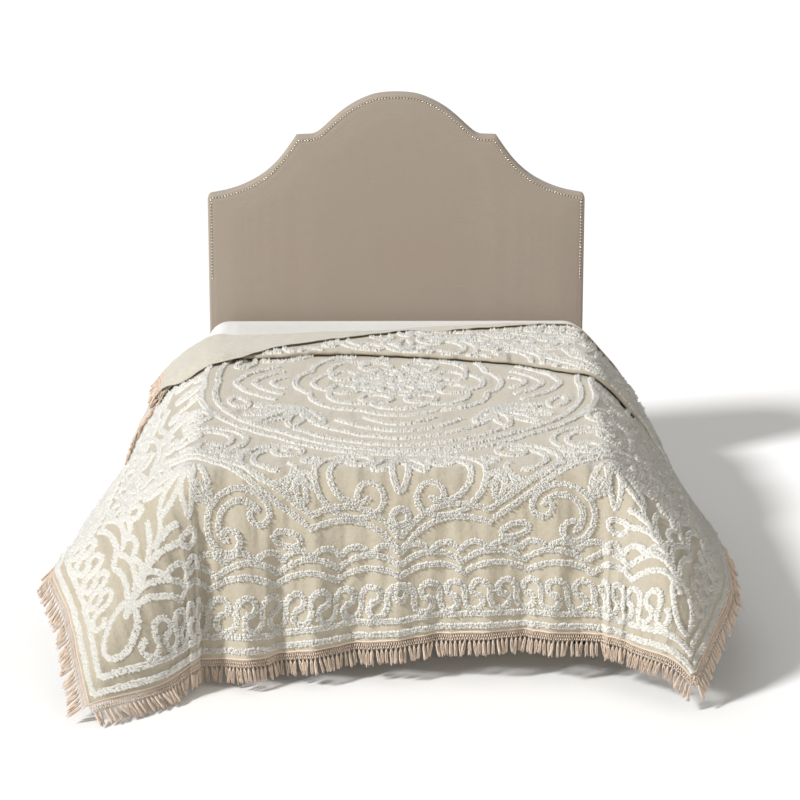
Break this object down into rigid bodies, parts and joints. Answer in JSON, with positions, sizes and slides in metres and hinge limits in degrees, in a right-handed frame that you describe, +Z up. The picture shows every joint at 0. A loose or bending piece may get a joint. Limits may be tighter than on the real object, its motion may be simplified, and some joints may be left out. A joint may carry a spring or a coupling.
{
  "type": "chenille bedspread on a bed",
  "caption": "Tufted cotton bedspread with a knotted fringe, pleated and turned back near the head, draped over a plain double bed with a curved padded headboard.",
  "frame": {"origin": "on the floor under the middle of the mattress, at the middle of the centre foot's underside", "axes": "+Z up, +Y towards the headboard, -Y towards the foot of the bed, +X to the right as seen from the foot"},
  "size_m": [2.167, 2.4185, 1.457],
  "materials": {
    "spread_cotton": "matte beige cotton with raised off-white chenille tufts",
    "fringe_cotton": "matte twisted and knotted cotton",
    "white_sheet": "matte white cotton sheet",
    "base_cover": "matte woven cover",
    "headboard_cloth": "matte taupe linen weave with small pale nailheads",
    "dark_wood": "satin dark stain"
  },
  "bodies": {
    "root": {"bedspread": "spread_cotton", "fringe_foot": "fringe_cotton", "fringe_left": "fringe_cotton", "fringe_right": "fringe_cotton", "mattress": "white_sheet", "base": "base_cover", "foot_left_front": "dark_wood", "foot_right_front": "dark_wood", "foot_left_head": "dark_wood", "foot_right_head": "dark_wood", "foot_centre": "dark_wood", "headboard": "headboard_cloth", "headboard_leg_left": "dark_wood", "headboard_leg_right": "dark_wood"}
  },
  "joints": []
}
